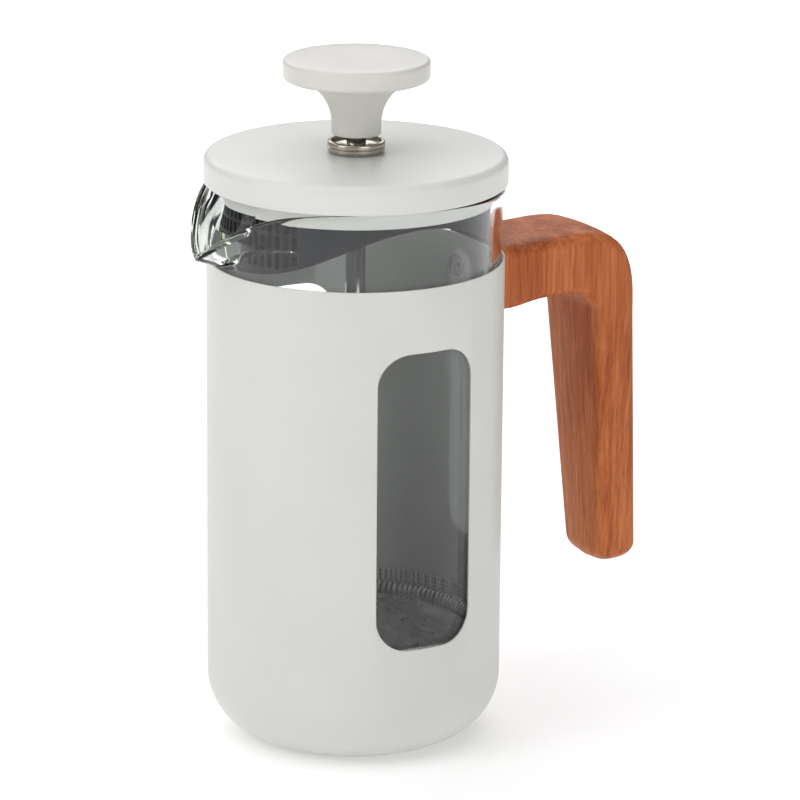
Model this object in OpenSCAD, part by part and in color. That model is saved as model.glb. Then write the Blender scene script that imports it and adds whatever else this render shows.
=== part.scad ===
// French press for three cups.
// A glass beaker stands in a steel jacket that carries a wooden handle. The lid drops into the
// beaker, and a plunger with a spring-edged filter slides through the collar in the lid's middle.
// The handle points along +X, the spout along -X, and the jacket's windows face -Y and +Y.
// The origin is the middle of the foot, on the table.

/* [Jacket] */
// Outer diameter of the steel jacket
jacket_d = 72; // [60:1:100]
// Height of the jacket's rim above the table
jacket_h = 120; // [95:1:180]
// Thickness of the jacket's sheet
jacket_wall = 0.5; // [0.4:0.1:1]
// Radius of the rounded edge round the jacket's foot
jacket_foot_r = 15.3; // [6:0.1:20]

/* [Windows] */
// Width of each window
window_w = 25.6; // [16:0.1:40]
// Height of the window's lower edge above the table
window_z = 30.6; // [20:0.1:50]
// Distance from the window's upper edge to the jacket's rim
window_drop = 15.6; // [10:0.1:40]
// Radius of the window's corners
window_r = 8; // [2:0.1:8]

/* [Beaker] */
// Gap between the beaker and the jacket, all round
beaker_gap = 0.3; // [0.2:0.1:1]
// Thickness of the beaker's glass
glass_wall = 1.8; // [1.2:0.1:2.5]
// Height of the beaker's rim above the jacket's rim
rim_rise = 18.3; // [14:0.1:30]
// How far the rim flares out beyond the straight glass
rim_flare = 0.9; // [0.4:0.1:1.4]
// How far the spout's tip reaches out beyond the rim
spout_reach = 7.2; // [4:0.1:10]
// How far the spout's tip lies below the rim
spout_drop = 13.8; // [8:0.1:14]
// Angle from the spout's middle over which its lip runs out to the side
spout_spread = 21.8; // [14:0.1:26]
// Angle from the spout's middle over which its lip rises to the rim
spout_rise = 19; // [12:0.1:24]

/* [Cushion] */
// Outer diameter of the silicone ring that the beaker stands on
cushion_d = 38; // [20:1:40]
// Thickness of the cushion
cushion_t = 1.6; // [1:0.1:3]

/* [Lid] */
// How far the lid's side stands out beyond the jacket's
lid_overhang = 0.65; // [0.2:0.05:2]
// Height of the lid's visible side and top
lid_h = 6.9; // [5:0.1:12]
// Thickness of the lid's sheet
lid_wall = 0.6; // [0.4:0.1:1]
// Radius of the lid's upper edge
lid_edge_r = 2; // [1:0.1:4]
// How far the lid's neck reaches down into the beaker
lid_neck = 4.1; // [1.5:0.1:5]
// Gap between the lid's neck and the glass
lid_gap = 0.4; // [0.3:0.05:1]

/* [Strainer] */
// Thickness of the strainer liner
liner_wall = 1.2; // [0.8:0.1:2]
// How far the skirt hangs below the lid's side between its two lobes
skirt_short = 5; // [4:0.1:8]
// How far the skirt hangs below the lid's side at its two lobes
skirt_long = 18; // [12:0.1:20]
// Number of slots in each row of the grille
slot_count = 19; // [7:2:21]
// Distance from one slot to the next
slot_pitch = 2.05; // [1.8:0.05:2.4]
// Width of a slot
slot_w = 1.2; // [0.8:0.05:1.4]
// Height of a slot
slot_h = 3.6; // [2:0.1:5]
// Height of the web between two rows of slots
slot_web = 0.8; // [0.6:0.1:1.5]

/* [Collar] */
// Diameter of the collar on the lid
collar_d = 13.9; // [12:0.1:18]
// Height of the collar
collar_h = 2.4; // [2:0.1:5]
// Diameter of the collar's threaded stem
stem_d = 10; // [9:0.1:11]

/* [Plunger] */
// Diameter of the plunger's rod
rod_d = 4.8; // [4:0.1:6]
// Height of the filter's underside above the table, with the plunger down
filter_z = 22.3; // [20:0.1:30]
// Height of the filter's spring edge
filter_h = 8; // [6:0.1:10]
// Gap between the filter and the glass
filter_gap = 0.3; // [0.2:0.05:0.6]
// Diameter of the spring's coils
coil_d = 3.8; // [3:0.1:5]
// Thickness of the perforated spring plate
plate_t = 0.6; // [0.4:0.1:1]
// Thickness of the cross plate
cross_t = 1; // [0.8:0.1:1.5]
// Thickness of the filter gauze
mesh_t = 0.3; // [0.2:0.05:0.4]

/* [Knob] */
// Diameter of the knob's disc
knob_d = 35.4; // [25:0.1:45]
// Thickness of the knob's disc
knob_t = 5; // [3:0.1:8]
// Diameter of the knob's neck
knob_neck_d = 12; // [10:0.1:16]
// Height of the knob's neck from its foot to the disc
knob_neck_h = 13.4; // [12.5:0.1:20]
// Radius of the neck's flare under the disc
knob_flare_r = 11.5; // [6:0.1:12]
// Gap between the knob's foot and the collar, with the plunger down
knob_gap = 1.6; // [1:0.1:4]

/* [Handle] */
// Height of the handle's arm
arm_h = 14.1; // [11:0.1:20]
// How much deeper the arm is where it meets the jacket
arm_flare = 1.6; // [0:0.1:3]
// How much the arm's top rises from the jacket to the bend
arm_rise = 0.8; // [0:0.1:2]
// Width of the arm and of the top of the grip
handle_w = 26; // [22:0.1:30]
// Width of the grip at its lower end
grip_tip_w = 16; // [12:0.1:22]
// Distance from the jacket to the grip, at the top of the finger gap
finger_gap = 25.4; // [20:0.1:40]
// Thickness of the grip at its top
grip_t = 11.4; // [9:0.1:18]
// How much thicker the grip is at its lower end
grip_swell = 0.8; // [0:0.1:3]
// How far the grip leans out from its top to its lower end
grip_lean = 4.4; // [0:0.1:10]
// Height of the grip's lower end above the table
grip_z = 33; // [15:0.1:50]
// Radius of the hollow under the arm
hollow_r = 6.5; // [4:0.1:8]
// How far the handle's back is crowned
handle_crown = 1.4; // [0:0.1:2]
// How far the grip's inner face is ridged
handle_ridge = 0.7; // [0:0.1:1]

/* [Handle screws] */
// Distance between the two screws
screw_pitch = 16.4; // [10:0.1:20]
// Depth of the screws below the jacket's rim
screw_drop = 8.5; // [6:0.1:12]
// Diameter of the screws' threads
screw_d = 3; // [2.5:0.1:4]
// Length of the screws under their heads
screw_l = 8; // [6:0.1:12]

/* [Fits] */
// Gap between two parts that turn or slide on each other
running_gap = 0.07; // [0.02:0.01:0.1]
// Gap between two parts that rest on each other
rest_gap = 0.1; // [0.05:0.05:0.2]

/* [Hidden] */
$fn = 96;

// Colours
paint = [0.86, 0.86, 0.84];
knob_plastic = [0.87, 0.86, 0.83];
wood = [0.66, 0.38, 0.22];
clear_glass = [0.8, 0.88, 0.86, 0.35];
steel = [0.72, 0.73, 0.74];
nickel = [0.68, 0.66, 0.62];
brass = [0.78, 0.62, 0.32];
black_plastic = [0.1, 0.1, 0.11];
silicone = [0.55, 0.56, 0.56];

// Overlap that makes a cut pass right through what it cuts
cut = 1;
// Gap between two bodies that only rest on each other
body_gap = 0.3;

// Jacket and beaker
jacket_r = jacket_d / 2;
beaker_r = jacket_r - jacket_wall - beaker_gap;
beaker_inner_r = beaker_r - glass_wall;
beaker_z = jacket_wall + cushion_t + rest_gap;
beaker_foot_r = jacket_foot_r - jacket_wall - beaker_gap;
rim_z = jacket_h + rim_rise;
// The lip is shaped above this height, and the glass below it is straight
lip_z = jacket_h + body_gap;
lip_steps = 7;
lip_sides = 90;
// The lip stands in the straight wall this deep, and this far in from the wall's two faces
lip_tongue = 1;
lip_inset = 0.06;
lip_start = 0.1;
// How sharply the lip turns outwards, away from the spout and at the spout
lip_turn = 3;
spout_turn = 1.6;
// How much the spout's floor rises faster at its start than at its tip
spout_scoop = -0.2;
// How pointed the spout looks from above and from the side
spout_point = 1.57;
spout_dip = 1.28;
// Points round the lip's rounded upper edge
lip_edge_steps = 3;

// Lid
lid_r = jacket_r + lid_overhang;
lid_z = rim_z + body_gap;
lid_top = lid_z + lid_h;
neck_r = beaker_inner_r - lid_gap;
liner_r = neck_r - lid_wall;
// Height of the liner's flat web above the lid's side
web_z = lid_z + 2.4;
web_t = 1.4;
boss_d = stem_d + 8;
// The skirt's lower edge swells at its lobes by this share
lobe_swell = 0.3;
// The skirt's edge is drawn with this many steps from the middle to a lobe
lobe_steps = 24;
// Rows of slots, counted up from this height above the lobe's edge
slot_margin = 2.8;
row_pitch = slot_h + slot_web;
slot_rows = floor((skirt_long - slot_margin + slot_web) / row_pitch);

// Collar, washer and nut
washer_t = 0.4;
collar_z = lid_top + 2 * running_gap + washer_t;
nut_h = 3;
nut_d = 17;
nut_z = web_z - running_gap - nut_h;
collar_edge = 0.4;
groove_h = 0.4;
groove_depth = 0.25;

// Plunger
rod_r = rod_d / 2;
knob_z = collar_z + collar_h + knob_gap;
knob_edge_r = 1;
insert_wall = 1.2;
insert_l = 9;
disc_z = knob_z + knob_neck_h;
filter_r = beaker_inner_r - filter_gap;
mesh_z = filter_z + cross_t;
plate_z = mesh_z + mesh_t;
coil_r = coil_d / 2;
coil_ring_r = filter_r - mesh_t - coil_r;
plate_r = coil_ring_r - coil_r;
rib_r = plate_r - 1.2;
rib_h = 1;
rib_w = 1.6;
plate_holes = 10;
plate_hole_d = 7;
cross_r = filter_r - 5;
cross_rim = 4;
cross_arm_w = 7;
hub_d = 12;
hub_h = 4.6;
nut_flats = 9;
rod_nut_h = 3.4;

// Handle
handle_top = jacket_h + body_gap;
arm_z = handle_top - arm_h;
grip_x = jacket_r + finger_gap;
// Middle of the hollow under the arm
hollow_x = grip_x - hollow_r;
hollow_z = arm_z - hollow_r;
// The arm starts inside the jacket's outline, which cuts it back
arm_root = jacket_r - 12;
arm_steps = 7;
// Length of arm over which its flare fades out
flare_l = 7;
bend_steps = 10;
// The outer bend is a squared ellipse of this power
bend_power = 3;
grip_steps = 6;
// Radii of the handle's long edges and of its lower end
inner_edge_r = 2.3;
outer_edge_r = 3.2;
edge_steps = 3;
crown_steps = 4;
tip_r = 4.6;
tip_steps = 5;

// Handle screws
screw_z = jacket_h - screw_drop;
screw_y = screw_pitch / 2;
screw_r = screw_d / 2;
head_r = screw_d * 0.92;
head_h = head_r - screw_r;
// The screws' heads lie sunk in dimples of the jacket, clear of the beaker
head_x = sqrt(pow(beaker_r, 2) - pow(screw_y - head_r, 2)) + beaker_gap;
// The dimples' straight part starts this far inside the heads
dimple_reach = 3;
// The dimples in the jacket are this much wider than the heads
dimple_gap = 0.2;
insert_r = screw_r + insert_wall;
insert_x = head_x + head_h + jacket_wall + 0.6;

// ---------------------------------------------------------------- shapes

// Upright cylinder with its foot edge rounded
module round_foot_solid(r, h, foot_r) {
    rotate_extrude() {
        square([r - foot_r, h]);
        translate([0, foot_r])
            square([r, h - foot_r]);
        translate([r - foot_r, foot_r])
            intersection() {
                circle(foot_r);
                translate([0, -foot_r])
                    square(foot_r);
            }
    }
}

// Upright ring
module ring(outer_r, inner_r, h) {
    difference() {
        cylinder(r = outer_r, h = h);
        translate([0, 0, -cut])
            cylinder(r = inner_r, h = h + 2 * cut);
    }
}

// Rectangle with rounded corners, from its lower left corner
module rounded_rectangle(w, h, r) {
    translate([r, 0])
        square([w - 2 * r, h]);
    translate([0, r])
        square([w, h - 2 * r]);
    for (x = [r, w - r])
        for (y = [r, h - r])
            translate([x, y])
                circle(r);
}

// Places its child along +X at each of the two screws
module at_screws(x) {
    for (side = [-1, 1])
        translate([x, side * screw_y, screw_z])
            rotate([0, 90, 0])
                children();
}

// ---------------------------------------------------------------- jacket and handle

// Full outline of the jacket, as a solid
module jacket_outline(h) {
    round_foot_solid(jacket_r, h, jacket_foot_r);
}

// Outline of the two dimples, grown by a distance all round
module dimples(grow) {
    side_r = head_r + dimple_gap + grow;
    at_screws(head_x - dimple_reach)
        cylinder(r = side_r, h = dimple_reach + grow);
    at_screws(head_x + grow)
        cylinder(r1 = side_r, r2 = side_r - head_h, h = head_h);
}

module jacket() {
    inner_r = jacket_r - jacket_wall;
    color(paint)
        difference() {
            union() {
                difference() {
                    jacket_outline(jacket_h);
                    translate([0, 0, jacket_wall])
                        round_foot_solid(inner_r, jacket_h, jacket_foot_r - jacket_wall);
                }
                difference() {
                    dimples(jacket_wall);
                    cylinder(r = inner_r, h = jacket_h);
                }
            }
            dimples(0);
            at_screws(head_x)
                cylinder(r = screw_r + dimple_gap, h = head_h + jacket_wall + cut);
            translate([-window_w / 2, jacket_d, window_z])
                rotate([90, 0, 0])
                    linear_extrude(2 * jacket_d)
                        rounded_rectangle(window_w, jacket_h - window_drop - window_z, window_r);
        }
}

module base_cushion() {
    color(silicone)
        translate([0, 0, jacket_wall])
            ring(cushion_d / 2, cushion_d / 4, cushion_t);
}

// Cross-section of the handle, as distance out from its inner face and distance to the side
function handle_section(t, half_w, crown, ridge) =
    let (
        inner_r = min(inner_edge_r, t / 2, half_w),
        outer_r = min(outer_edge_r, t - inner_r, half_w),
        flat = half_w - outer_r,
        inner = [
            for (i = [0 : edge_steps])
                let (turn = 90 * i / edge_steps)
                [inner_r * (1 - cos(turn)), half_w - inner_r * (1 - sin(turn))]
        ],
        outer = [
            for (i = [0 : edge_steps])
                let (turn = 90 * i / edge_steps)
                [t - outer_r * (1 - sin(turn)), half_w - outer_r * (1 - cos(turn))]
        ],
        back = [
            for (i = [1 : crown_steps - 1])
                let (share = 1 - 2 * i / crown_steps)
                [t + crown * (1 - pow(share, 2)), flat * share]
        ]
    )
    concat(
        inner, outer, back,
        [for (i = [edge_steps : -1 : 0]) [outer[i][0], -outer[i][1]]],
        [for (i = [edge_steps : -1 : 0]) [inner[i][0], -inner[i][1]]],
        [[-ridge, 0]]
    );

// Places a cross-section at a point of the inner face, facing out at an angle above +X
function placed_section(section, x, z, angle) =
    [for (p = section) [x + p[0] * cos(angle), p[1], z + p[0] * sin(angle)]];

// How far the outer bend lies from the middle of the hollow, at an angle above +X
function bend_reach(angle) =
    pow(
        pow(cos(angle) / (hollow_r + grip_t), bend_power)
            + pow(sin(angle) / (hollow_r + arm_h + arm_rise), bend_power),
        -1 / bend_power
    );

// Cross-sections of the arm, from its root to the hollow
function arm_sections() = [
    for (i = [0 : arm_steps])
        let (
            share = i / arm_steps,
            x = arm_root + (hollow_x - arm_root) * share,
            deeper = arm_flare * exp(-pow(max(x - jacket_r, 0) / flare_l, 2))
        )
        placed_section(
            handle_section(arm_h + arm_rise * pow(share, 2) + deeper, handle_w / 2, 0, 0),
            x, arm_z - deeper, 90
        )
];

// Cross-sections round the bend
function bend_sections() = [
    for (i = [1 : bend_steps])
        let (
            share = i / bend_steps,
            angle = 90 * (1 - share)
        )
        placed_section(
            handle_section(
                bend_reach(angle) - hollow_r, handle_w / 2,
                handle_crown * share, handle_ridge * share
            ),
            hollow_x + hollow_r * cos(angle), hollow_z + hollow_r * sin(angle), angle
        )
];

// Cross-section of the grip at a height, drawn in on all sides by a distance
function grip_section(z, inset) =
    let (
        share = (hollow_z - z) / (hollow_z - grip_z),
        half_w = (handle_w + (grip_tip_w - handle_w) * share) / 2,
        left = 1 - inset / tip_r / 2
    )
    placed_section(
        handle_section(
            grip_t + grip_swell * share - 2 * inset, half_w - inset,
            handle_crown * left, handle_ridge * left
        ),
        grip_x + grip_lean * share + inset, z, 0
    );

// Cross-sections down the grip and round its lower end
function grip_sections() = [
    for (i = [1 : grip_steps])
        grip_section(hollow_z + (grip_z + tip_r - hollow_z) * i / grip_steps, 0),
    for (i = [1 : tip_steps])
        let (turn = 90 * i / tip_steps)
        grip_section(grip_z + tip_r * (1 - sin(turn)), tip_r * (1 - cos(turn)))
];

module handle_blank() {
    sections = concat(arm_sections(), bend_sections(), grip_sections());
    n = len(sections[0]);
    last = len(sections) - 1;
    points = [for (section = sections) each section];
    sides = [
        for (i = [0 : last - 1])
            for (j = [0 : n - 1])
                let (
                    here = i * n,
                    next = here + n,
                    k = (j + 1) % n
                )
                each [[here + j, here + k, next + k], [here + j, next + k, next + j]]
    ];
    root = [for (j = [n - 1 : -1 : 0]) j];
    tip = [for (j = [0 : n - 1]) last * n + j];
    polyhedron(points, concat(sides, [root, tip]));
}

module handle() {
    color(wood)
        difference() {
            handle_blank();
            jacket_outline(jacket_h + arm_h);
            dimples(jacket_wall);
            at_screws(head_x)
                cylinder(r = screw_r + dimple_gap, h = insert_x - head_x + screw_l);
            at_screws(insert_x)
                cylinder(r = insert_r, h = screw_l);
        }
}

module handle_screws() {
    color(steel)
        difference() {
            at_screws(head_x) {
                cylinder(r1 = head_r, r2 = screw_r, h = head_h);
                cylinder(r = screw_r, h = screw_l);
            }
            at_screws(head_x - cut)
                cylinder(d = screw_r, h = cut + head_h, $fn = 6);
        }
}

module handle_inserts() {
    color(brass)
        difference() {
            at_screws(insert_x)
                cylinder(r = insert_r, h = screw_l);
            at_screws(insert_x - cut)
                cylinder(r = screw_r, h = screw_l + 2 * cut);
        }
}

// ---------------------------------------------------------------- beaker

// Share of the spout at an angle from its middle, 1 in the middle and 0 far to the side
function spout_share(angle, spread, point) = exp(-pow(abs(angle) / spread, point));

// Outer face of the lip at an angle from the spout and a share of the way up, as radius and height
function lip_point(angle, up) =
    let (
        out = spout_share(angle, spout_spread, spout_point),
        low = spout_share(angle, spout_rise, spout_dip),
        rim_r = beaker_r + rim_flare + spout_reach * out,
        top_z = rim_z - glass_wall / 2 - spout_drop * low,
        turn = lip_turn + (spout_turn - lip_turn) * out
    )
    [
        beaker_r + (rim_r - beaker_r) * pow(up, turn),
        lip_z + (top_z - lip_z) * (1 - pow(1 - up, 1 + spout_scoop * out))
    ];

// Unit vector out of the lip's outer face
function lip_normal(angle, up) =
    let (
        step = 0.01,
        along = lip_point(angle, up) - lip_point(angle, up - step)
    )
    [along[1], -along[0]] / norm(along);

// Cross-section of the lip at an angle: up its outer face, round its edge, down its inner face
function lip_section(angle) =
    let (
        shares = [for (i = [1 : lip_steps]) i / lip_steps],
        outer = [for (up = shares) lip_point(angle, up)],
        inner = [for (up = shares) lip_point(angle, up) - glass_wall * lip_normal(angle, up)],
        last = lip_normal(angle, 1),
        middle = lip_point(angle, 1) - last * glass_wall / 2,
        edge = [
            for (i = [1 : lip_edge_steps])
                let (turn = 180 * i / (lip_edge_steps + 1))
                middle + glass_wall / 2 * (last * cos(turn) + [-last[1], last[0]] * sin(turn))
        ]
    )
    concat(
        [for (z = [-lip_tongue, lip_start]) [beaker_r - lip_inset, lip_z + z]],
        outer, edge,
        [for (i = [lip_steps - 1 : -1 : 0]) inner[i]],
        [for (z = [lip_start, -lip_tongue]) [beaker_inner_r + lip_inset, lip_z + z]]
    );

module beaker_lip() {
    sections = [
        for (i = [0 : lip_sides - 1])
            let (angle = 360 * i / lip_sides - 180)
            [for (p = lip_section(angle)) [-p[0] * cos(angle), p[0] * sin(angle), p[1]]]
    ];
    points = [for (section = sections) each section];
    n = len(sections[0]);
    faces = [
        for (i = [0 : lip_sides - 1])
            for (j = [0 : n - 1])
                let (
                    here = i * n,
                    next = ((i + 1) % lip_sides) * n,
                    k = (j + 1) % n
                )
                each [[here + j, next + k, here + k], [here + j, next + j, next + k]]
    ];
    polyhedron(points, faces);
}

module glass_beaker() {
    color(clear_glass) {
        difference() {
            translate([0, 0, beaker_z])
                round_foot_solid(beaker_r, lip_z - beaker_z, beaker_foot_r);
            translate([0, 0, beaker_z + glass_wall])
                round_foot_solid(beaker_inner_r, lip_z, beaker_foot_r - glass_wall);
        }
        beaker_lip();
    }
}

// ---------------------------------------------------------------- lid

module lid_cap() {
    inner_r = lid_r - lid_wall;
    color(paint)
        difference() {
            union() {
                translate([0, 0, lid_top])
                    mirror([0, 0, 1])
                        round_foot_solid(lid_r, lid_h, lid_edge_r);
                translate([0, 0, lid_z - lid_neck])
                    cylinder(r = neck_r, h = lid_neck + lid_wall);
            }
            translate([0, 0, lid_z + lid_wall])
                mirror([0, 0, 1])
                    translate([0, 0, -lid_h + 2 * lid_wall])
                        round_foot_solid(inner_r, lid_h - 2 * lid_wall, lid_edge_r - lid_wall);
            translate([0, 0, lid_z - lid_neck - cut])
                cylinder(r = liner_r, h = lid_neck + lid_wall + 2 * cut);
            translate([0, 0, lid_z])
                cylinder(r = stem_d / 2 + running_gap, h = lid_h + cut);
        }
}

// Height of the skirt's lower edge at a share of the way from the middle to a lobe
function skirt_edge(share) =
    lid_z - skirt_short - (skirt_long - skirt_short)
        * ((1 + lobe_swell) * pow(share, 2) - lobe_swell * pow(share, 6));

// Everything above the skirt's wavy lower edge, seen from the side
module skirt_side() {
    edge = [
        for (i = [-lobe_steps : lobe_steps])
            let (share = i / lobe_steps)
            [share * neck_r, skirt_edge(share)]
    ];
    polygon(concat(edge, [[neck_r, web_z + web_t], [-neck_r, web_z + web_t]]));
}

// Slots of the grille, cut straight in from the spout's side
module grille_slots() {
    for (row = [0 : slot_rows - 1]) {
        z = lid_z - skirt_long + slot_margin + row * row_pitch;
        for (i = [0 : slot_count - 1]) {
            y = (i - (slot_count - 1) / 2) * slot_pitch;
            edge_z = skirt_edge(sqrt(1 - pow(y / neck_r, 2)));
            low = max(z, edge_z + slot_margin / 2);
            if (z + slot_h - low > slot_w)
                translate([-neck_r, y - slot_w / 2, low])
                    cube([neck_r / 2, slot_w, z + slot_h - low]);
        }
    }
}

module strainer_liner() {
    color(black_plastic)
        difference() {
            union() {
                intersection() {
                    translate([0, 0, lid_z - skirt_long - cut])
                        ring(liner_r, liner_r - liner_wall, skirt_long + web_z + web_t - lid_z + cut);
                    translate([0, neck_r, 0])
                        rotate([90, 0, 0])
                            linear_extrude(2 * neck_r)
                                skirt_side();
                }
                translate([0, 0, web_z])
                    cylinder(r = liner_r - liner_wall / 2, h = web_t);
                translate([0, 0, web_z])
                    cylinder(d = boss_d, h = lid_top - lid_wall - web_z);
            }
            grille_slots();
            translate([0, 0, web_z - cut])
                cylinder(r = stem_d / 2 + running_gap, h = lid_h + 2 * cut);
        }
}

module lid_collar() {
    collar_r = collar_d / 2;
    color(nickel)
        difference() {
            union() {
                translate([0, 0, collar_z])
                    cylinder(r = collar_r, h = collar_h - collar_edge);
                translate([0, 0, collar_z + collar_h - collar_edge])
                    cylinder(r1 = collar_r, r2 = collar_r - collar_edge, h = collar_edge);
                translate([0, 0, nut_z - 1])
                    cylinder(d = stem_d, h = collar_z - nut_z + 1);
            }
            translate([0, 0, nut_z - 1 - cut])
                cylinder(r = rod_r + running_gap, h = collar_z + collar_h - nut_z + 1 + 2 * cut);
            translate([0, 0, collar_z + (collar_h - groove_h) / 2])
                ring(collar_r + cut, collar_r - groove_depth, groove_h);
        }
}

module collar_washer() {
    color(silicone)
        translate([0, 0, lid_top + running_gap])
            ring(collar_d / 2 - collar_edge, stem_d / 2, washer_t);
}

module collar_nut() {
    color(nickel)
        difference() {
            translate([0, 0, nut_z])
                cylinder(d = nut_d, h = nut_h, $fn = 6);
            translate([0, 0, nut_z - cut])
                cylinder(d = stem_d, h = nut_h + 2 * cut);
        }
}

// ---------------------------------------------------------------- plunger

module knob() {
    neck_r = knob_neck_d / 2;
    flare_z = disc_z + knob_edge_r / 2 - knob_flare_r;
    color(knob_plastic)
        difference() {
            rotate_extrude() {
                translate([0, knob_z])
                    square([neck_r, disc_z - knob_z]);
                difference() {
                    translate([0, flare_z])
                        square([neck_r + knob_flare_r, disc_z - flare_z]);
                    translate([neck_r + knob_flare_r, flare_z])
                        circle(knob_flare_r);
                }
                translate([0, disc_z])
                    square([knob_d / 2 - knob_edge_r, knob_t]);
                translate([0, disc_z + knob_edge_r])
                    square([knob_d / 2, knob_t - 2 * knob_edge_r]);
                for (z = [disc_z + knob_edge_r, disc_z + knob_t - knob_edge_r])
                    translate([knob_d / 2 - knob_edge_r, z])
                        circle(knob_edge_r);
            }
            translate([0, 0, knob_z - cut])
                cylinder(r = rod_r + insert_wall, h = insert_l + cut);
        }
}

module knob_insert() {
    color(brass)
        translate([0, 0, knob_z])
            ring(rod_r + insert_wall, rod_r, insert_l);
}

module plunger_rod() {
    rod_foot = filter_z - hub_h;
    color(steel)
        translate([0, 0, rod_foot])
            cylinder(r = rod_r, h = knob_z + insert_l - rod_foot);
}

module rod_nut() {
    color(steel)
        difference() {
            translate([0, 0, plate_z + plate_t])
                cylinder(d = nut_flats, h = rod_nut_h, $fn = 6);
            translate([0, 0, plate_z])
                cylinder(r = rod_r, h = plate_t + rod_nut_h + cut);
        }
}

module spring_plate() {
    color(steel)
        difference() {
            union() {
                translate([0, 0, plate_z])
                    cylinder(r = plate_r, h = plate_t);
                translate([0, 0, plate_z])
                    ring(rib_r, rib_r - rib_w, plate_t + rib_h);
            }
            translate([0, 0, plate_z - cut])
                cylinder(r = rod_r, h = plate_t + 2 * cut);
            for (i = [0 : plate_holes - 1])
                rotate(360 * i / plate_holes)
                    translate([(rib_r - rib_w) * 0.66, 0, plate_z - cut])
                        cylinder(d = plate_hole_d, h = plate_t + 2 * cut);
        }
}

module garter_spring() {
    color(steel)
        translate([0, 0, plate_z + coil_r + plate_t])
            rotate_extrude()
                translate([coil_ring_r, 0])
                    circle(coil_r);
}

module filter_mesh() {
    color(steel)
        translate([0, 0, mesh_z])
            difference() {
                cylinder(r = filter_r, h = filter_h - cross_t);
                translate([0, 0, mesh_t])
                    cylinder(r = filter_r - mesh_t, h = filter_h);
                translate([0, 0, -cut])
                    cylinder(r = rod_r, h = mesh_t + 2 * cut);
            }
}

module cross_plate() {
    color(steel)
        translate([0, 0, filter_z])
            difference() {
                union() {
                    ring(cross_r, cross_r - cross_rim, cross_t);
                    cylinder(d = hub_d, h = cross_t);
                    for (angle = [0, 90])
                        rotate(angle)
                            translate([-cross_r + cross_rim / 2, -cross_arm_w / 2, 0])
                                cube([2 * cross_r - cross_rim, cross_arm_w, cross_t]);
                }
                translate([0, 0, -cut])
                    cylinder(r = rod_r, h = cross_t + 2 * cut);
            }
}

module cross_hub() {
    color(steel)
        translate([0, 0, filter_z - hub_h])
            ring(hub_d / 2, rod_r, hub_h);
}

jacket();
base_cushion();
handle();
handle_screws();
handle_inserts();
glass_beaker();
lid_collar();
collar_washer();
collar_nut();
lid_cap();
strainer_liner();
knob();
knob_insert();
plunger_rod();
rod_nut();
spring_plate();
garter_spring();
filter_mesh();
cross_plate();
cross_hub();
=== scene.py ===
# %% [markdown]
# # A small french press
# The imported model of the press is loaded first. It gives every metal, glass and wooden piece its
# place and size, in metres. The cells after it set the camera and the light, turn and sweep the
# pieces that show, and give each surface its finish.

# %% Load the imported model
import math

import bmesh
import bpy
from mathutils import Matrix, Vector


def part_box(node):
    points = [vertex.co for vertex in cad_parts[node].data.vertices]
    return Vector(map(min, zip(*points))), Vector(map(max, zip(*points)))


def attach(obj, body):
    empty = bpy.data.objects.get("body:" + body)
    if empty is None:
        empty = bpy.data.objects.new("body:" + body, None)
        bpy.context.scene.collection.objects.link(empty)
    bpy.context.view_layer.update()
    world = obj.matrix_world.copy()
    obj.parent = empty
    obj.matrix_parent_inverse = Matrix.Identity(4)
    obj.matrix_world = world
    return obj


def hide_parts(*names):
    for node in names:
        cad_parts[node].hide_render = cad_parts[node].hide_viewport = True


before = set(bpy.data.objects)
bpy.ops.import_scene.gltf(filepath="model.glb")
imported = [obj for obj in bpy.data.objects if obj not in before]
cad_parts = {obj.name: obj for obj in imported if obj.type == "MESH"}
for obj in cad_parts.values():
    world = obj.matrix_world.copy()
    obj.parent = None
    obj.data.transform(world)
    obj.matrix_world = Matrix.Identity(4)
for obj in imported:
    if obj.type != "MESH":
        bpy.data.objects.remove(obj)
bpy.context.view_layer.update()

MM = 0.001

# %% [markdown]
# ## Camera
# A long lens far from the press keeps upright edges nearly parallel. The camera stands on the spout's
# side, in front, and looks down at about 16 degrees.

# %% Camera
camera_place = Vector((-0.5465, -0.9699, 0.4071))
heading = math.radians(60.035)
pitch = math.radians(16.203)
roll = 0.008312

forward = Vector((math.cos(heading) * math.cos(pitch), math.sin(heading) * math.cos(pitch), -math.sin(pitch)))
level_right = Vector((math.sin(heading), -math.cos(heading), 0))
level_up = level_right.cross(forward)
right = math.cos(roll) * level_right + math.sin(roll) * level_up
up = math.cos(roll) * level_up - math.sin(roll) * level_right

bpy.ops.object.camera_add()
camera = bpy.context.object
camera.name = "studio_camera"
camera.matrix_world = Matrix.Translation(camera_place) @ Matrix((right, up, -forward)).transposed().to_4x4()
camera.data.lens = 214.45
camera.data.sensor_width = 36
camera.data.clip_start = 0.1
camera.data.clip_end = 50
bpy.context.scene.camera = camera
print("camera", round(camera_place.length, 3), "m from the foot, lens", camera.data.lens, "mm")

# %% [markdown]
# ## Floor and light
# A white table top fills the view. A large lamp on the left gives the jacket its bright side, one in
# front and one above fill it in, and one behind lights the lid under the knob.

# %% Floor
def deselect():
    for thing in bpy.context.selected_objects:
        thing.select_set(False)


deselect()
bpy.ops.mesh.primitive_plane_add(size=14, location=(0, 0, 0))
floor = bpy.context.object
floor.name = "floor"

# %% Room and lamps
room = bpy.data.worlds.new("pale_room")
room.use_nodes = True
room.node_tree.nodes["Background"].inputs["Color"].default_value = (0.95, 0.97, 1.0, 1)
room.node_tree.nodes["Background"].inputs["Strength"].default_value = 0.16
bpy.context.scene.world = room
bpy.context.scene.view_settings.view_transform = "Standard"


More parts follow.
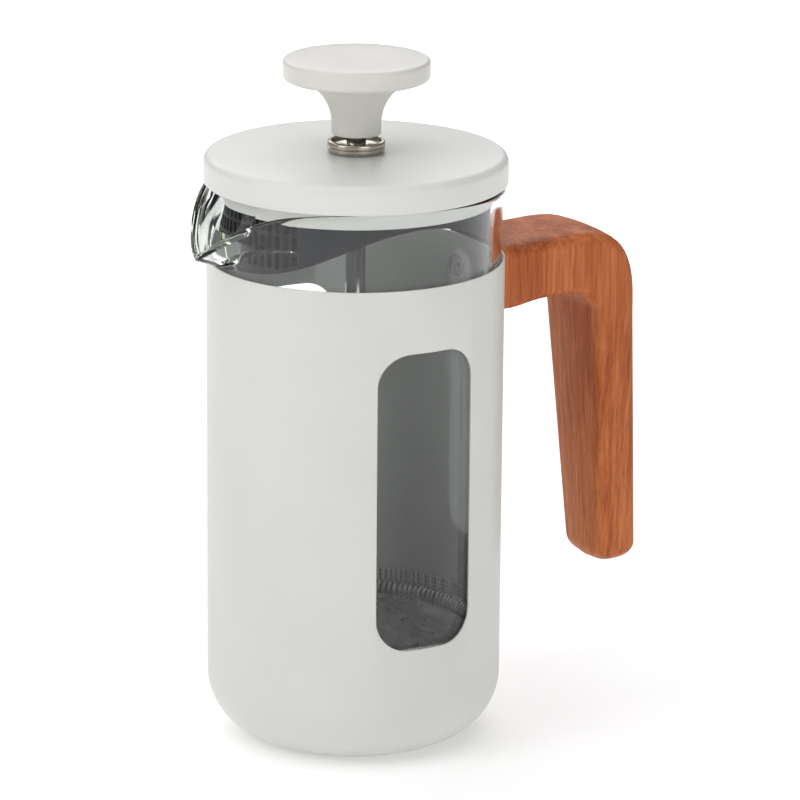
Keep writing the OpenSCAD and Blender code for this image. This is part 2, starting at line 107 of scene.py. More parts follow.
def lamp(name, place, target, size, watts, tint=(1, 1, 1)):
    bpy.ops.object.light_add(type="AREA", location=place)
    light = bpy.context.object
    light.name = name
    light.data.shape = "RECTANGLE"
    light.data.size, light.data.size_y = size
    light.data.energy = watts
    light.data.color = tint
    light.rotation_euler = (Vector(target) - Vector(place)).to_track_quat("-Z", "Y").to_euler()
    print(name, "at", place, watts, "W")


middle = (0, 0, 0.08)
lamp("key_lamp", (-1.25, 0.0, 0.7), middle, (0.7, 1.1), 4.9, (1, 0.99, 0.97))
lamp("front_lamp", (0.1, -1.35, 0.42), middle, (0.9, 0.6), 4.1)
lamp("top_lamp", (-0.2, 0.05, 1.4), middle, (2.4, 2.4), 21)
lamp("back_lamp", (0.5, 1.2, 0.9), middle, (1.4, 0.8), 7)

# %% [markdown]
# ## Shader maths
# Patterns are sums and products of a few textures. A small class wraps a socket, so that they can be
# written as plain expressions, and one method makes every other node.

# %% Sockets that can be added and multiplied
class Signal:
    def __init__(self, finish, socket):
        self.finish = finish
        self.socket = socket

    def _math(self, operation, *values):
        return self.finish.node("ShaderNodeMath", {"operation": operation}, dict(enumerate(values)))

    def __add__(self, other):
        return self._math("ADD", self, other)

    def __sub__(self, other):
        return self._math("SUBTRACT", self, other)

    def __rsub__(self, other):
        return self._math("SUBTRACT", other, self)

    def __mul__(self, other):
        return self._math("MULTIPLY", self, other)

    def __truediv__(self, other):
        return self._math("DIVIDE", self, other)

    def above(self, low, high):
        ramp = {"interpolation_type": "SMOOTHSTEP"}
        limits = {"Value": self, "From Min": low, "From Max": high}
        return self.finish.node("ShaderNodeMapRange", ramp, limits)

    __radd__ = __add__
    __rmul__ = __mul__


# %% A finish and its one node-making method
class Finish:
    def __init__(self, name):
        self.material = bpy.data.materials.new(name)
        self.material.use_nodes = True
        self.tree = self.material.node_tree
        self.shader = self.tree.nodes["Principled BSDF"]

    def feed(self, socket, value):
        if isinstance(value, Signal):
            self.tree.links.new(value.socket, socket)
        else:
            socket.default_value = value

    def node(self, kind, settings=None, inputs=None, output=0):
        made = self.tree.nodes.new(kind)
        for key, value in (settings or {}).items():
            if key == "stops":
                ramp = made.color_ramp.elements
                while len(ramp) < len(value):
                    ramp.new(0.5)
                for element, (place, colour) in zip(ramp, value):
                    element.position = place
                    element.color = (*colour, 1)
            else:
                setattr(made, key, value)
        for key, value in (inputs or {}).items():
            self.feed(made.inputs[key], value)
        return Signal(self, made.outputs[output])

    def place(self, scale=(1, 1, 1)):
        here = self.node("ShaderNodeTexCoord", output="Object")
        return self.node("ShaderNodeMapping", {}, {"Vector": here, "Scale": scale})

    def noise(self, scale, stretch=(1, 1, 1), detail=2.0, rough=0.5):
        values = {"Vector": self.place(stretch), "Scale": scale, "Detail": detail, "Roughness": rough}
        return self.node("ShaderNodeTexNoise", {}, values)

    def colours(self, factor, stops):
        return self.node("ShaderNodeValToRGB", {"stops": stops}, {"Fac": factor})

    def blend(self, factor, first, second):
        settings = {"data_type": "RGBA"}
        return self.node("ShaderNodeMix", settings, {"Factor": factor, 6: first, 7: second}, output=2)

    def bump(self, height, depth, strength=1.0):
        return self.node("ShaderNodeBump", {}, {"Height": height, "Distance": depth, "Strength": strength})

    def pass_shadows(self):
        clear = self.node("ShaderNodeBsdfTransparent")
        shadow = self.node("ShaderNodeLightPath", output="Is Shadow Ray")
        solid = Signal(self, self.shader.outputs[0])
        mixed = self.node("ShaderNodeMixShader", {}, {0: shadow, 1: solid, 2: clear})
        self.feed(self.tree.nodes["Material Output"].inputs["Surface"], mixed)

    def surface(self, **inputs):
        for key, value in inputs.items():
            self.feed(self.shader.inputs[key.replace("_", " ")], value)
        print("finish", self.material.name, "with", len(self.tree.nodes), "nodes")
        return self.material


# %% [markdown]
# ## Powder coat
# The jacket and the lid are steel with the same satin off-white coat, but the lid's copy is painted a little
# lighter, as painted light on the lid top. Sprayed powder melts into a skin with a very fine orange peel,
# so the colour is nearly even and the peel lives in the bump and the roughness.

# %% Powder coat
def powder_coat(name, low, high, rough):
    finish = Finish(name)
    cloud = finish.noise(38, detail=3)
    peel = finish.noise(1500, detail=2)
    grit = finish.noise(5200, detail=1)
    tone = finish.colours(cloud.above(0.3, 0.7), [(0, low), (1, high)])
    return finish.surface(
        Base_Color=tone,
        Roughness=rough + (peel - 0.5) * 0.08 + (cloud - 0.5) * 0.06,
        Normal=finish.bump(peel * 0.8 + grit * 0.2, 0.00002, 0.12),
        Specular_IOR_Level=0.45,
    )


jacket_coat = powder_coat("jacket_coat", (0.645, 0.648, 0.62), (0.665, 0.668, 0.64), 0.42)
# The lid's copy of the coat is painted lighter than the jacket's: painted light for the lid top.
lid_coat_painted_lighter = powder_coat("lid_coat_painted_lighter", (0.67, 0.67, 0.645), (0.69, 0.69, 0.665), 0.38)

# %% [markdown]
# ## Moulded plastics and silicone
# The knob is a satin warm-white moulding, the strainer liner a black one, and the cushion and washer
# are grey silicone. Each has its own faint mottling and a skin that is a little uneven.

# %% Plastics
def moulding(name, low, high, rough, grain=900, depth=0.00002, specular=0.5):
    finish = Finish(name)
    mottle = finish.noise(60, detail=3)
    skin = finish.noise(grain, detail=2)
    return finish.surface(
        Base_Color=finish.colours(mottle.above(0.3, 0.7), [(0, low), (1, high)]),
        Roughness=rough + (skin - 0.5) * 0.1 + (mottle - 0.5) * 0.05,
        Normal=finish.bump(skin, depth, 0.5),
        Specular_IOR_Level=specular,
    )


knob_plastic = moulding("knob_plastic", (0.635, 0.622, 0.58), (0.665, 0.652, 0.61), 0.36)
black_plastic = moulding(
    "black_plastic", (0.012, 0.012, 0.015), (0.018, 0.018, 0.022), 0.45, depth=0.000005, specular=0.2
)
grey_silicone = moulding("grey_silicone", (0.24, 0.245, 0.25), (0.29, 0.295, 0.3), 0.62, 1400)

# %% [markdown]
# ## Metals
# Turned and drawn metal carries fine lines. A noise stretched along one axis draws them, and the same
# lines steer the roughness and a faint bump.

# %% Brushed and turned metal
def brushed(name, dark, bright, rough, stretch, scale=900, depth=0.00001):
    finish = Finish(name)
    lines = finish.noise(scale, stretch, detail=4, rough=0.65)
    smear = finish.noise(70, detail=2)
    return finish.surface(
        Base_Color=finish.colours(lines.above(0.3, 0.7) * 0.7 + smear * 0.3, [(0, dark), (1, bright)]),
        Metallic=1.0,
        Roughness=rough + (lines - 0.5) * 0.16 + (smear - 0.5) * 0.1,
        Normal=finish.bump(lines, depth, 0.6),
    )


turned = (0.02, 0.02, 1)
drawn = (1, 1, 0.02)
collar_nickel = brushed("collar_nickel", (0.34, 0.31, 0.25), (0.66, 0.62, 0.54), 0.24, turned, 2600)
polished_steel = brushed("polished_steel", (0.5, 0.5, 0.5), (0.66, 0.66, 0.67), 0.13, drawn)
filter_steel = brushed("filter_steel", (0.36, 0.36, 0.36), (0.6, 0.6, 0.6), 0.26, (1, 0.05, 1), 500)
spring_wire = brushed("spring_wire", (0.4, 0.4, 0.4), (0.68, 0.68, 0.68), 0.2, (1, 1, 1), 1200)
screw_steel = brushed("screw_steel", (0.3, 0.3, 0.31), (0.55, 0.55, 0.56), 0.3, (1, 1, 1), 1500)
insert_brass = brushed("insert_brass", (0.45, 0.3, 0.1), (0.75, 0.55, 0.25), 0.28, (0.05, 1, 1), 1500)

# %% [markdown]
# ## Glass
# The beaker is clear borosilicate. Its index of refraction is set a little under the real 1.47, so that
# the pale floor's reflection doesn't veil what stands inside. Its melted rim looks green because light
# runs a long way through it. The piece carries that as an attribute named rim_edge, from 0 to 1. A few
# faint wipe marks break up the shine.

# %% Beaker glass
glass = Finish("beaker_glass")
wipe = glass.noise(45, (1, 1, 0.25), detail=3)
rim_edge = glass.node("ShaderNodeAttribute", {"attribute_name": "rim_edge"}, output="Fac")
glass.pass_shadows()
beaker_glass = glass.surface(
    Base_Color=glass.blend(rim_edge, (0.95, 0.965, 0.96, 1), (0.68, 0.74, 0.58, 1)),
    Roughness=wipe.above(0.55, 0.9) * 0.03,
    Transmission_Weight=1.0,
    IOR=1.36,
)

# %% [markdown]
# ## Wood
# The handle is sawn from one board of reddish hardwood whose grain runs up and down the grip. Stretched
# noise gives broad bands, fine streaks and short dark pores, and the pores also dent the surface.

# %% Handle wood
wood = Finish("handle_wood")
drift = wood.noise(30, (1, 1, 0.4), detail=2)
bands = wood.noise(230, (1, 1, 0.05), detail=4, rough=0.6)
streaks = wood.noise(1100, (1, 1, 0.03), detail=4, rough=0.7)
pores = wood.noise(2400, (1, 1, 0.05), detail=2).above(0.62, 0.76)
tone = bands * 0.42 + streaks * 0.38 + drift * 0.2
wood_tones = [
    (0.36, (0.24, 0.052, 0.015)),
    (0.46, (0.41, 0.105, 0.032)),
    (0.53, (0.51, 0.155, 0.052)),
    (0.63, (0.64, 0.225, 0.088)),
]
pore_colour = (0.1, 0.03, 0.015, 1)
handle_wood = wood.surface(
    Base_Color=wood.blend(pores * 0.55, wood.colours(tone, wood_tones), pore_colour),
    Roughness=0.5 + (streaks - 0.5) * 0.22 + pores * 0.15,
    Normal=wood.bump(streaks * 0.5 - pores * 0.8, 0.00008, 0.55),
    Specular_IOR_Level=0.15,
)

# %% [markdown]
# ## Turning
# Most pieces of a press are round. Each is drawn as a half outline by extruding one point, which is
# then spun round the middle. Merging the doubles closes the seam, and normals are set last.

# %% Turned pieces
def finish_piece(piece, name, material, body, replaced, smooth=32):
    piece.name = name
    piece.data.name = name
    piece.data.materials.clear()
    piece.data.materials.append(material)
    deselect()
    piece.select_set(True)
    bpy.context.view_layer.objects.active = piece
    bpy.ops.object.transform_apply(location=True, rotation=True, scale=True)
    bpy.ops.object.shade_smooth_by_angle(angle=math.radians(smooth))
    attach(piece, body)
    if replaced:
        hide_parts(*replaced)
    print(name, "has", len(piece.data.polygons), "faces")
    return piece


def start_point(place):
    deselect()
    bpy.ops.mesh.primitive_plane_add(size=MM, location=(0, 0, 0))
    bpy.ops.object.mode_set(mode="EDIT")
    bpy.ops.mesh.select_all(action="SELECT")
    bpy.ops.mesh.merge(type="CENTER")
    bpy.ops.transform.translate(value=place)


def turn(outline, steps=160, closed=True):
    points = [Vector((r * MM, 0, z * MM)) for r, z in outline]
    start_point(points[0])
    for before, after in zip(points, points[1:]):
        bpy.ops.mesh.extrude_vertices_move(TRANSFORM_OT_translate={"value": after - before})
    bpy.ops.mesh.select_all(action="SELECT")
    if closed:
        shape = bmesh.from_edit_mesh(bpy.context.object.data)
        ends = [v for v in shape.verts if len(v.link_edges) == 1]
        shape.edges.new(ends)
        bmesh.update_edit_mesh(bpy.context.object.data)
    bpy.ops.mesh.select_all(action="SELECT")
    bpy.ops.mesh.spin(steps=steps, angle=math.tau, center=(0, 0, 0), axis=(0, 0, 1))
    bpy.ops.mesh.select_all(action="SELECT")
    bpy.ops.mesh.remove_doubles(threshold=0.000002)
    bpy.ops.mesh.normals_make_consistent(inside=False)
    bpy.ops.object.mode_set(mode="OBJECT")
    return bpy.context.object


def arc(centre_r, centre_z, radius, start, end, steps=6):
    angles = [math.radians(start + (end - start) * i / steps) for i in range(steps + 1)]
    return [(centre_r + radius * math.cos(a), centre_z + radius * math.sin(a)) for a in angles]


def top_of(node):
    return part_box(node)[1].z / MM


def foot_of(node):
    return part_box(node)[0].z / MM


def radius_of(node):
    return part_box(node)[1].y / MM


# %% [markdown]
# ## Cutting and easing edges
# Windows, slots and holes are cut with a solid that is taken away by a Boolean. A narrow Bevel on the
# sharp edges then catches the light, as a deburred or painted edge does.

# %% Boolean and bevel
def apply(piece, kind, name, **settings):
    deselect()
    piece.select_set(True)
    bpy.context.view_layer.objects.active = piece
    modifier = piece.modifiers.new(name, kind)
    for key, value in settings.items():
        setattr(modifier, key, value)
    bpy.ops.object.modifier_apply(modifier=name)


def combine(piece, tool, how="DIFFERENCE"):
    apply(piece, "BOOLEAN", how.lower(), object=tool, operation=how, solver="EXACT")
    bpy.data.objects.remove(tool)


def ease(piece, width, segments=2, angle=35):
    limit = {"limit_method": "ANGLE", "angle_limit": math.radians(angle)}
    apply(piece, "BEVEL", "eased_edges", width=width * MM, segments=segments, harden_normals=False, **limit)


# %% [markdown]
# ## Jacket
# The jacket is half a millimetre of steel, drawn into a cup with a softly rounded foot. Two tall
# windows show the coffee, and two dimples behind the handle take the screws' heads.

# %% Jacket wall
jacket_r = radius_of("jacket")
jacket_top = top_of("jacket")
wall, foot_r = 0.5, 15.3
wall_middle, brim_round = 60, 0.2
jacket_outline = (
    [(0, 0)]
    + arc(jacket_r - foot_r, foot_r, foot_r, -90, 0, 18)
    + [(jacket_r, wall_middle)]
    + arc(jacket_r - brim_round, jacket_top - brim_round, brim_round, 0, 90, 3)
    + arc(jacket_r - wall + brim_round, jacket_top - brim_round, brim_round, 90, 180, 3)
    + [(jacket_r - wall, wall_middle)]
    + arc(jacket_r - foot_r, foot_r, foot_r - wall, 0, -90, 18)
    + [(0, wall)]
)
jacket = turn(jacket_outline, 192, closed=False)

# %% Jacket windows
window_low, window_high = 30.6, jacket_top - 15.6
window_wide, window_round = 25.6, 8


def window_tool():
    middle_z = (window_low + window_high) / 2 * MM
    deselect()
    bpy.ops.mesh.primitive_cube_add(size=1, location=(0, 0, middle_z))
    tool = bpy.context.object
    tool.scale = (window_wide * MM, 100 * MM, (window_high - window_low) * MM)
    bpy.ops.object.transform_apply(location=True, rotation=True, scale=True)
    bpy.ops.object.mode_set(mode="EDIT")
    bpy.ops.mesh.select_all(action="DESELECT")
    shape = bmesh.from_edit_mesh(tool.data)
    for edge in shape.edges:
        along = edge.verts[0].co - edge.verts[1].co
        edge.select = abs(along.y) > 50 * MM
    bmesh.update_edit_mesh(tool.data)
    bpy.ops.mesh.bevel(offset=window_round * MM, segments=12)
    bpy.ops.object.mode_set(mode="OBJECT")
    return tool


combine(jacket, window_tool())


# %% Dimples for the screws
screw_y, screw_z, head_r, head_gap = 8.2, jacket_top - 8.5, 2.76, 0.2
head_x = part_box("handle_screws")[0].x / MM


def cone(x, length, start_r, end_r, y, sides=32):
    deselect()
    place = ((x + length / 2) * MM, y * MM, screw_z * MM)
    turned_over = (0, math.radians(90), 0)
    sizes = {"radius1": start_r * MM, "radius2": end_r * MM, "depth": length * MM}
    bpy.ops.mesh.primitive_cone_add(vertices=sides, location=place, rotation=turned_over, **sizes)
    return bpy.context.object


for y in (-screw_y, screw_y):
    side_r = head_r + head_gap + wall
    combine(jacket, cone(head_x - 1.5, 1.5 + wall, side_r, side_r, y), "UNION")
    combine(jacket, cone(head_x + wall - 0.01, 1.26, side_r, side_r - 1.26, y), "UNION")
deselect()
inside_r = (jacket_r - wall - 0.02) * MM
bpy.ops.mesh.primitive_cylinder_add(vertices=192, radius=inside_r, depth=50 * MM, location=(0, 0, 111 * MM))
combine(jacket, bpy.context.object)
for y in (-screw_y, screw_y):
    side_r = head_r + head_gap
    combine(jacket, cone(head_x - 2, 2.01, side_r, side_r, y))
    combine(jacket, cone(head_x, 1.26, side_r, side_r - 1.26, y))
    combine(jacket, cone(head_x, 4, 1.7, 1.7, y))
ease(jacket, 0.12)
finish_piece(jacket, "jacket_shell", jacket_coat, "jug", ["jacket"])

# %% [markdown]
# ## Glass beaker
# The beaker is blown: straight below, with a rim that flares a little and a spout drawn out of it. It
# is turned with a plain rim first. Then each point of the rim is moved to where the spout's own curve
# puts it, by how far round it lies from the spout.

# %% Shape of the rim and spout
beaker_r, glass_t = 35.2, 1.8
lip_z, rim_z = jacket_top + 0.3, top_of("glass_beaker")
rim_flare, spout_reach, spout_drop = 0.9, 7.2, 13.8


def lip_point(angle, up):
    out = math.exp(-((angle / 21.8) ** 1.57))
    low = math.exp(-((angle / 19) ** 1.28))
    rim_r = beaker_r + rim_flare + spout_reach * out
    rim_top = rim_z - glass_t / 2 - spout_drop * low
    rise = 1 - (1 - up) ** (1 - 0.2 * out)
    return Vector((beaker_r + (rim_r - beaker_r) * up ** (3 - 1.4 * out), lip_z + (rim_top - lip_z) * rise))


def lip_place(angle, up, depth, edge):
    point = lip_point(angle, up)
    along = (point - lip_point(angle, up - 0.01)).normalized()
    outward = Vector((along.y, -along.x))
    if edge is None:
        return point - outward * depth
    middle = point - outward * glass_t / 2
    return middle + glass_t / 2 * (outward * math.cos(edge) + along * math.sin(edge))


# %% Beaker, turned and drawn out at the spout
lip_shares = [i / 22 for i in range(1, 23)]
lip_keys = [(up, 0, None) for up in lip_shares]
lip_keys += [(1, 0, math.pi * i / 10) for i in range(1, 10)]
lip_keys += [(up, glass_t, None) for up in reversed(lip_shares)]
plain_lip = [tuple(lip_place(180, *key)) for key in lip_keys]
beaker_foot, glass_foot_r = foot_of("glass_beaker"), 14.5
straight_low, straight_high = 70, 118
beaker_outline = (
    [(0.0, beaker_foot)]
    + arc(beaker_r - glass_foot_r, beaker_foot + glass_foot_r, glass_foot_r, -90, 0, 16)
    + [(beaker_r, straight_low), (beaker_r, straight_high)]
    + plain_lip
    + [(beaker_r - glass_t, straight_high), (beaker_r - glass_t, straight_low)]
    + arc(beaker_r - glass_foot_r, beaker_foot + glass_foot_r, glass_foot_r - glass_t, 0, -90, 16)
    + [(0.0, beaker_foot + glass_t)]
)
beaker = turn(beaker_outline, 240, closed=False)
lookup = {(round(r, 3), round(z, 3)): key for (r, z), key in zip(plain_lip, lip_keys)}
moved = 0
rim_edge = beaker.data.attributes.new("rim_edge", "FLOAT", "POINT")
for vertex in beaker.data.vertices:
    r, z = math.hypot(vertex.co.x, vertex.co.y) / MM, vertex.co.z / MM
    key = lookup.get((round(r, 3), round(z, 3)))
    if key:
        angle = math.atan2(vertex.co.y, -vertex.co.x)
        new_r, new_z = lip_place(abs(math.degrees(angle)), *key)
        vertex.co = Vector((-new_r * math.cos(angle), new_r * math.sin(angle), new_z)) * MM
        beside_spout = math.exp(-((abs(angle) / 0.8) ** 2))
        rim_edge.data[vertex.index].value = beside_spout if key[0] > 0.99 else 0
        moved += 1
print("moved", moved, "points of the rim")
finish_piece(beaker, "beaker_blown", beaker_glass, "beaker", ["glass_beaker"], 60)

# %% [markdown]
# ## Lid
# The lid is a shallow spun pan with a rolled upper edge. Its neck drops inside the beaker and keeps it
# in the middle.

# %% Lid
lid_top, lid_r = top_of("lid_cap"), radius_of("lid_cap")
lid_z, neck_r, neck_z = lid_top - 6.9, 33.0, foot_of("lid_cap")
sheet, lid_round, lid_hole = 0.6, 2, 5.07
lid_outline = (
    [(lid_hole, lid_top), (9, lid_top), (16, lid_top), (26, lid_top)]
    + arc(lid_r - lid_round, lid_top - lid_round, lid_round, 90, 0, 10)
    + arc(lid_r - 0.25, lid_z + 0.25, 0.25, 0, -90, 4)
    + arc(neck_r + 0.3, lid_z - 0.3, 0.3, 90, 180, 4)
    + arc(neck_r - 0.2, neck_z + 0.2, 0.2, 0, -90, 3)
    + arc(neck_r - sheet + 0.15, neck_z + 0.15, 0.15, -90, -180, 3)
    + [(neck_r - sheet, lid_z + sheet), (lid_r - sheet, lid_z + sheet)]
    + arc(lid_r - lid_round, lid_top - lid_round, lid_round - sheet, 0, 90, 8)
    + [(lid_hole, lid_top - sheet)]
)
finish_piece(turn(lid_outline, 192), "lid_pan", lid_coat_painted_lighter, "lid", ["lid_cap"])

# %% [markdown]
# ## Knob and collar
# The knob is one moulding whose neck flares into a flat disc. It stands over a turned collar, with a
# groove round its middle and a chamfered mouth for the rod.

# %% Knob
knob_z, knob_top, knob_r = foot_of("knob"), top_of("knob"), radius_of("knob")
disc_z, knob_neck, flare, disc_round = knob_top - 5, 6, 11.5, 1
socket_r, socket_h = 3.6, 9
knob_outline = (
    [(0, knob_z + socket_h), (socket_r, knob_z + socket_h), (socket_r, knob_z)]
    + arc(knob_neck - 0.3, knob_z + 0.3, 0.3, -90, 0, 3)
    + arc(knob_neck + flare, disc_z + 0.5 - flare, flare, 180, 92.5, 20)
    + arc(knob_r - disc_round, disc_z + disc_round, disc_round, -90, 0, 6)
    + arc(knob_r - disc_round, knob_top - disc_round, disc_round, 0, 90, 6)
    + [(knob_r - 5, knob_top), (6, knob_top), (0, knob_top)]
)
knob_shape = turn(knob_outline, 128, closed=False)
finish_piece(knob_shape, "knob_moulding", knob_plastic, "plunger", ["knob"])

# %% Collar
collar_top, collar_r = top_of("lid_collar"), 6.95
collar_foot, bore_r = foot_of("lid_collar"), 2.47
seat_z = collar_top - 2.4
groove = collar_top - 1.2
collar_outline = (
    [(bore_r, collar_foot), (4.8, collar_foot), (5, collar_foot + 0.2), (5, seat_z)]
    + arc(collar_r - 0.25, seat_z + 0.25, 0.25, -90, 0, 4)
    + [(collar_r, groove - 0.25), (collar_r - 0.22, groove - 0.12), (collar_r - 0.22, groove + 0.12)]
    + [(collar_r, groove + 0.25)]
    + arc(collar_r - 0.45, collar_top - 0.45, 0.45, 0, 90, 5)
    + [(6.1, collar_top), (5.8, collar_top - 0.9), (3.2, collar_top - 0.9), (bore_r, collar_top - 1.2)]
)
finish_piece(
    turn(collar_outline, 96), "collar_turned", collar_nickel, "lid_bush", ["lid_collar"], 25
)

# %% [markdown]
# ## Handle
# The handle is one board, bent over at the top. Its cross-section is a rounded rectangle with a
# crowned back, and it changes all the way: deeper at the jacket, square round the bend, narrow at the
# lower end. So one face is extruded from station to station, and its points are set at each.

# %% Cross-section of the handle
arm_h, arm_rise, arm_flare = 14.1, 0.8, 1.6
handle_wide, tip_wide, grip_z = 26, 16, foot_of("handle")
grip_x, grip_t, grip_swell, grip_lean, tip_r = jacket_r + 25.4, 11.4, 0.8, 4.4, 4.6
arm_z = jacket_top + 0.3 - arm_h
hollow_r = 6.5
hollow = Vector((grip_x - hollow_r, arm_z - hollow_r))


def handle_section(thick, half, crown, ridge, inner=2.3, outer=3.2):
    inner, outer = min(inner, thick / 2), min(outer, thick / 2)
    quarter = [math.radians(90 * i / 5) for i in range(6)]
    corner_in = [(inner * (1 - math.cos(a)), half - inner * (1 - math.sin(a))) for a in quarter]
    corner_out = [(thick - outer * (1 - math.sin(a)), half - outer * (1 - math.cos(a))) for a in quarter]
    flat = half - outer
    back = [(thick + crown * (1 - s * s), flat * s) for s in (0.75, 0.5, 0.25, 0, -0.25, -0.5, -0.75)]
    front = [(-ridge * (1 - abs(s)) ** 1.2, (half - inner) * s) for s in (-0.66, -0.33, 0, 0.33, 0.66)]
    mirrored = [(t, -y) for t, y in reversed(corner_in + corner_out)]
    return corner_in + corner_out + back + mirrored + front


def placed(section, x, z, angle):
    c, s = math.cos(angle), math.sin(angle)
    return [Vector((x + t * c, y, z + t * s)) * MM for t, y in section]


# %% Stations along the handle
def grip_station(z, inset):
    share = (hollow.y - z) / (hollow.y - grip_z)
    half = (handle_wide + (tip_wide - handle_wide) * share) / 2 - inset
    thick = grip_t + grip_swell * share - 2 * inset
    left = 1 - inset / tip_r / 2
    section = handle_section(thick, half, 1.4 * left, 0.7 * left)
    return placed(section, grip_x + grip_lean * share + inset, z, 0)


def bend_station(share):
    angle = math.radians(90 * (1 - share))
    power = 3
    wide, tall = hollow_r + grip_t, hollow_r + arm_h + arm_rise
    reach = ((math.cos(angle) / wide) ** power + (math.sin(angle) / tall) ** power) ** (-1 / power)
    section = handle_section(reach - hollow_r, handle_wide / 2, 1.4 * share, 0.7 * share)
    here = hollow + hollow_r * Vector((math.cos(angle), math.sin(angle)))
    return placed(section, here.x, here.y, angle)


stations = []
for i in range(15):
    x = jacket_r - 4 + (hollow.x - jacket_r + 4) * i / 14
    share = (x - jacket_r + 12) / (hollow.x - jacket_r + 12)
    deeper = arm_flare * math.exp(-((max(x - jacket_r, 0) / 7) ** 2))
    section = handle_section(arm_h + arm_rise * share**2 + deeper, handle_wide / 2, 0, 0)
    stations.append(placed(section, x, arm_z - deeper, math.pi / 2))
stations += [bend_station(i / 20) for i in range(1, 21)]
stations += [grip_station(hollow.y + (grip_z + tip_r - hollow.y) * i / 20, 0) for i in range(1, 21)]
for i in range(1, 9):
    around = math.radians(90 * i / 8)
    stations.append(grip_station(grip_z + tip_r * (1 - math.sin(around)), tip_r * (1 - math.cos(around))))
print(len(stations), "stations of", len(stations[0]), "points")


# %% Extrude one face through all the stations
def sweep(rings):
    deselect()
    bpy.ops.mesh.primitive_circle_add(vertices=len(rings[0]), fill_type="NGON", location=(0, 0, 0))
    piece = bpy.context.object
    for vertex, place in zip(piece.data.vertices, rings[0]):
        vertex.co = place
    bpy.ops.object.mode_set(mode="EDIT")
    for before, after in zip(rings, rings[1:]):
        bpy.ops.mesh.extrude_region_move()
        shape = bmesh.from_edit_mesh(piece.data)
        where = {tuple(round(c / MM, 3) for c in place): after[i] for i, place in enumerate(before)}
        for vertex in shape.verts:
            if vertex.select:
                vertex.co = where[tuple(round(c / MM, 3) for c in vertex.co)]
        bmesh.update_edit_mesh(piece.data)
    bpy.ops.mesh.select_all(action="SELECT")
    bpy.ops.mesh.normals_make_consistent(inside=False)
    bpy.ops.object.mode_set(mode="OBJECT")
    return piece


handle = sweep(stations)
deselect()
bpy.ops.mesh.primitive_cylinder_add(vertices=256, radius=jacket_r * MM, depth=0.1, location=(0, 0, 0.12))
combine(handle, bpy.context.object)
for y in (-screw_y, screw_y):
    combine(handle, cone(head_x - 2, 2 + wall, head_r + 0.7, head_r + 0.7, y))
    combine(handle, cone(head_x + wall - 0.01, 1.3, head_r + 0.7, head_r - 0.6, y))
    combine(handle, cone(head_x, 10.5, 2.71, 2.71, y))
finish_piece(handle, "handle_board", handle_wood, "jug", ["handle"], 40)

# %% [markdown]
# ## Spring edge of the filter
# A close coil of wire, bent into a ring, presses the gauze against the glass. It is a curve: a point
# runs round the coil while the coil runs round the rod.

# %% Coil spring
coil_low, coil_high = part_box("garter_spring")
wire_r = 0.3
coil_r = (coil_high.z - coil_low.z) / 2 / MM - wire_r
ring_r = coil_high.x / MM - coil_r - wire_r
coil_z = (coil_high.z + coil_low.z) / 2 / MM
coils, turn_points = 130, 12
deselect()
bpy.ops.curve.primitive_bezier_circle_add(radius=ring_r * MM, location=(0, 0, 0))
spring = bpy.context.object
spring.data.splines.clear()
wire = spring.data.splines.new("POLY")
wire.points.add(coils * turn_points - 1)
for i, point in enumerate(wire.points):
    around = math.tau * i / (coils * turn_points)
    winding = math.tau * i / turn_points
    reach = ring_r + coil_r * math.cos(winding)
    height = coil_z + coil_r * math.sin(winding)
    spot = Vector((reach * math.cos(around), reach * math.sin(around), height)) * MM
    point.co = (*spot, 1)
wire.use_cyclic_u = True
spring.data.dimensions = "3D"
spring.data.bevel_depth = wire_r * MM
spring.data.bevel_resolution = 1
deselect()
spring.select_set(True)
bpy.context.view_layer.objects.active = spring
bpy.ops.object.convert(target="MESH")
finish_piece(spring, "edge_coil", spring_wire, "plunger", ["garter_spring"], 60)
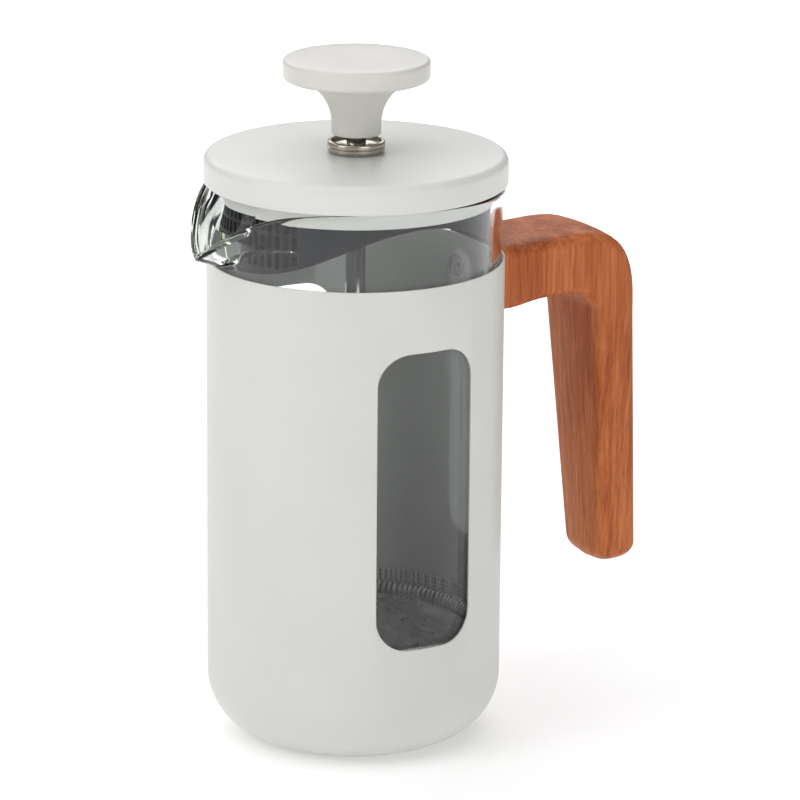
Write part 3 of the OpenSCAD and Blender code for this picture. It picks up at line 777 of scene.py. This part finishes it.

# %% [markdown]
# ## Gauze
# The filter is a disc of fine steel gauze, folded up at its edge round the spring. Its threads are
# drawn by two crossed waves in the finish, which dent the surface; between the threads the colour
# is darkened as painted shade.

# %% Gauze dish
gauze = Finish("steel_gauze")
across = gauze.node("ShaderNodeTexWave", {"bands_direction": "X"}, {"Vector": gauze.place(), "Scale": 320})
along = gauze.node("ShaderNodeTexWave", {"bands_direction": "Y"}, {"Vector": gauze.place(), "Scale": 320})
rise = gauze.node("ShaderNodeTexWave", {"bands_direction": "Z"}, {"Vector": gauze.place(), "Scale": 320})
weave = (across + along + rise * 0.5) / 2.5
stain = gauze.noise(90, detail=3)
# The dark stop is painted shade between the threads, and the light stop is the steel of the threads.
thread_and_gap_shade_tones = [(0.15, (0.06, 0.06, 0.06)), (0.75, (0.5, 0.5, 0.49))]
steel_gauze = gauze.surface(
    Base_Color=gauze.colours(weave * 0.8 + stain * 0.2, thread_and_gap_shade_tones),
    Metallic=0.9,
    Roughness=0.42 + (stain - 0.5) * 0.2,
    Normal=gauze.bump(weave, 0.00012, 0.8),
)
mesh_low, mesh_top, mesh_r = foot_of("filter_mesh"), top_of("filter_mesh"), radius_of("filter_mesh")
gauze_outline = (
    [(2.45, mesh_low), (20, mesh_low)]
    + arc(mesh_r - 1.2, mesh_low + 1.2, 1.2, -90, 0, 5)
    + [(mesh_r, mesh_top - 0.3), (mesh_r - 0.15, mesh_top), (mesh_r - 0.3, mesh_top - 0.3)]
    + arc(mesh_r - 1.2, mesh_low + 1.2, 0.9, 0, -90, 5)
    + [(20, mesh_low + 0.3), (2.45, mesh_low + 0.3)]
)
finish_piece(turn(gauze_outline, 160), "gauze_dish", steel_gauze, "plunger", ["filter_mesh"])

# %% [markdown]
# ## Pieces kept as drawn
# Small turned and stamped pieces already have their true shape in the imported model, so they keep it
# and get their finish.

# %% Finishes of the kept pieces
kept = {
    "base_cushion": grey_silicone,
    "handle_screws": screw_steel,
    "handle_inserts": insert_brass,
    "collar_washer": grey_silicone,
    "collar_nut": collar_nickel,
    "strainer_liner": black_plastic,
    "knob_insert": insert_brass,
    "plunger_rod": polished_steel,
    "rod_nut": filter_steel,
    "spring_plate": filter_steel,
    "cross_plate": filter_steel,
    "cross_hub": filter_steel,
}
for node_name, material in kept.items():
    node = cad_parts[node_name]
    node.data.materials.clear()
    node.data.materials.append(material)
print("kept", len(kept), "pieces of the packed model")

# %% [markdown]
# ## Floor finish
# The table top is matt and white all round. It glows a little, and less near the press, so that it
# stays white without washing out the soft shadow at the foot.

# %% Floor finish
paper = Finish("white_floor")
fibre = paper.noise(6, detail=2)
spread = paper.node("ShaderNodeVectorMath", {"operation": "LENGTH"}, {0: paper.place()}, output="Value")
glow = paper.colours(spread.above(0.1, 1.2), [(0, (0.4, 0.4, 0.4)), (1, (1, 1, 1))])
floor.data.materials.append(
    paper.surface(
        Base_Color=paper.colours(fibre, [(0, (0.9, 0.9, 0.9)), (1, (0.92, 0.92, 0.92))]),
        Roughness=0.9,
        Emission_Color=glow,
        Emission_Strength=0.64,
    )
)
